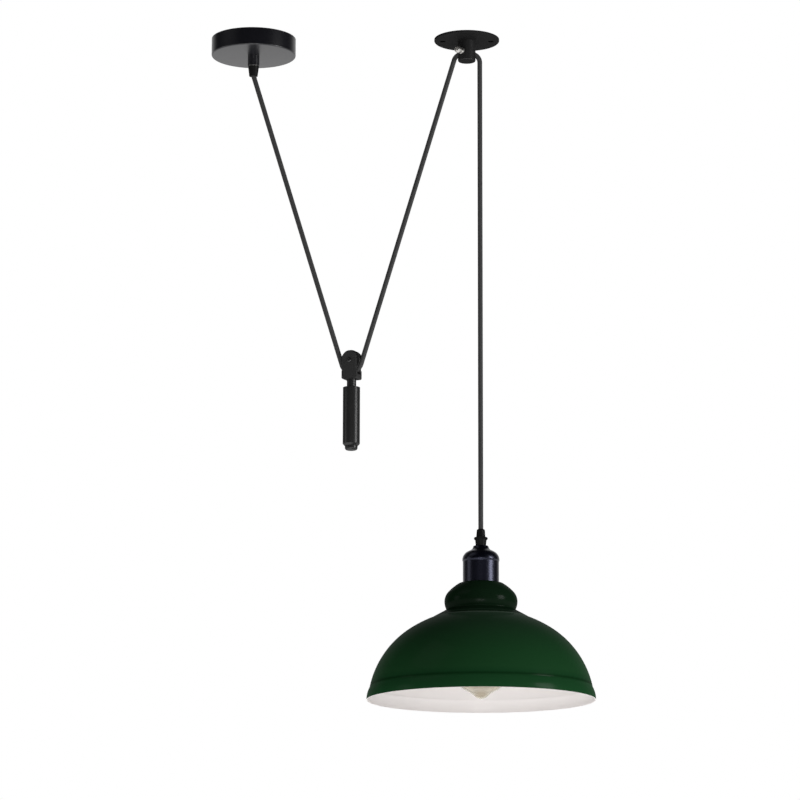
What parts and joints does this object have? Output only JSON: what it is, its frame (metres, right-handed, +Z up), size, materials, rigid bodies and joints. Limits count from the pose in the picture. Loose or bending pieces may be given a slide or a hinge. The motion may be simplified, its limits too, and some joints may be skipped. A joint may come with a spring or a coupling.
{
  "type": "rise and fall pendant lamp",
  "caption": "Ceiling pendant that rises and falls: a flex in a V round a counterweight's pulley, clamped at a second ceiling plate, carries a spun metal shade and a bulb.",
  "frame": {"origin": "centre of the ceiling rose's top face, on the ceiling", "axes": "+X from the rose to the second ceiling plate, +Z up, -Y the front"},
  "size_m": [0.496, 0.29, 0.8684],
  "materials": {
    "black_paint": "satin",
    "black_metal": "satin",
    "black_plastic": "matte",
    "flex_sheath": "matte",
    "green_enamel": "gloss",
    "navy_paint": "satin",
    "zinc_steel": "satin",
    "brass": "satin",
    "nickel": "gloss",
    "white_plastic": "gloss",
    "porcelain": "glazed",
    "brown_core": "gloss",
    "blue_core": "gloss",
    "earth_core": "gloss",
    "bulb_glass": "gloss",
    "stem_glass": "gloss",
    "filament": "satin"
  },
  "bodies": {
    "mounting": {"rose_cover": "black_paint", "rose_strap": "zinc_steel", "rose_tube": "brass", "rose_tube_nut": "brass", "rose_collar": "black_paint", "rose_grip_washer": "zinc_steel", "rose_cord_grip": "black_plastic", "terminal_block": "white_plastic", "terminal_inserts": "brass", "terminal_screws": "zinc_steel", "earth_screw": "zinc_steel", "rose_live_core": "brown_core", "rose_neutral_core": "blue_core", "rose_earth_core": "earth_core", "flex_rose_end": "flex_sheath", "ceiling_plate": "black_paint", "flex_in_boss": "flex_sheath"},
    "clamp": {"clamp_screw": "zinc_steel"},
    "lock_nut": {"clamp_lock_nut": "zinc_steel"},
    "counterweight": {"pulley_block": "black_metal", "axle_screw": "black_metal", "weight_rod": "zinc_steel", "weight_sleeve": "black_metal", "weight": "black_metal", "weight_end_nut": "black_metal", "flex_rose_leg": "flex_sheath", "flex_wrap": "flex_sheath", "flex_boss_leg": "flex_sheath"},
    "pulley": {"pulley_wheel": "black_plastic", "pulley_bush": "brass"},
    "lamp": {"flex_drop": "flex_sheath", "flex_lamp_end": "flex_sheath", "lamp_grip_dome": "black_plastic", "lamp_grip_body": "black_plastic", "lamp_tube": "brass", "lamp_tube_nut": "brass", "holder_cap": "navy_paint", "holder_insert": "porcelain", "holder_shell": "nickel", "holder_contact": "brass", "holder_terminals": "brass", "holder_screws": "zinc_steel", "lamp_live_core": "brown_core", "lamp_neutral_core": "blue_core", "lamp_earth_core": "earth_core", "shade": "green_enamel", "shade_ring": "black_plastic"},
    "bulb": {"bulb_glass": "bulb_glass", "bulb_cap": "nickel", "bulb_insulator": "black_plastic", "bulb_contact": "zinc_steel", "bulb_stem": "stem_glass", "bulb_filament": "filament"}
  },
  "joints": [
    {"name": "lamp_height", "type": "slide", "parent": "mounting", "child": "lamp", "axis": [0, 0, 1], "range_m": [-0.3, 0.25], "deforming": ["flex_drop"]},
    {"name": "counterweight_height", "type": "slide", "parent": "mounting", "child": "counterweight", "axis": [0, 0, 1], "range_m": [-0.14, 0.165], "deforming": ["flex_rose_leg", "flex_boss_leg"]},
    {"name": "pulley_turn", "type": "hinge", "parent": "counterweight", "child": "pulley", "pos_m": [0.1303, 0, -0.4306], "axis": [0.4067, 0.9135, 0], "range_deg": [-610, 510]},
    {"name": "clamp_screw_turn", "type": "hinge", "parent": "mounting", "child": "clamp", "pos_m": [0.279, 0, -0.0182], "axis": [-0.5736, -0.8192, 0], "range_deg": [0, 1080]},
    {"name": "lock_nut_turn", "type": "hinge", "parent": "mounting", "child": "lock_nut", "pos_m": [0.279, 0, -0.0182], "axis": [-0.5736, -0.8192, 0], "range_deg": [0, 720]},
    {"name": "bulb_turn", "type": "hinge", "parent": "lamp", "child": "bulb", "pos_m": [0.296, 0, -0.78], "axis": [0, 0, 1], "range_deg": [0, 1080]}
  ],
  "couplings": [
    {"joint": "counterweight_height", "follows": "lamp_height", "ratio": -0.53},
    {"joint": "pulley_turn", "follows": "lamp_height", "rad_per_m": 34.72}
  ]
}
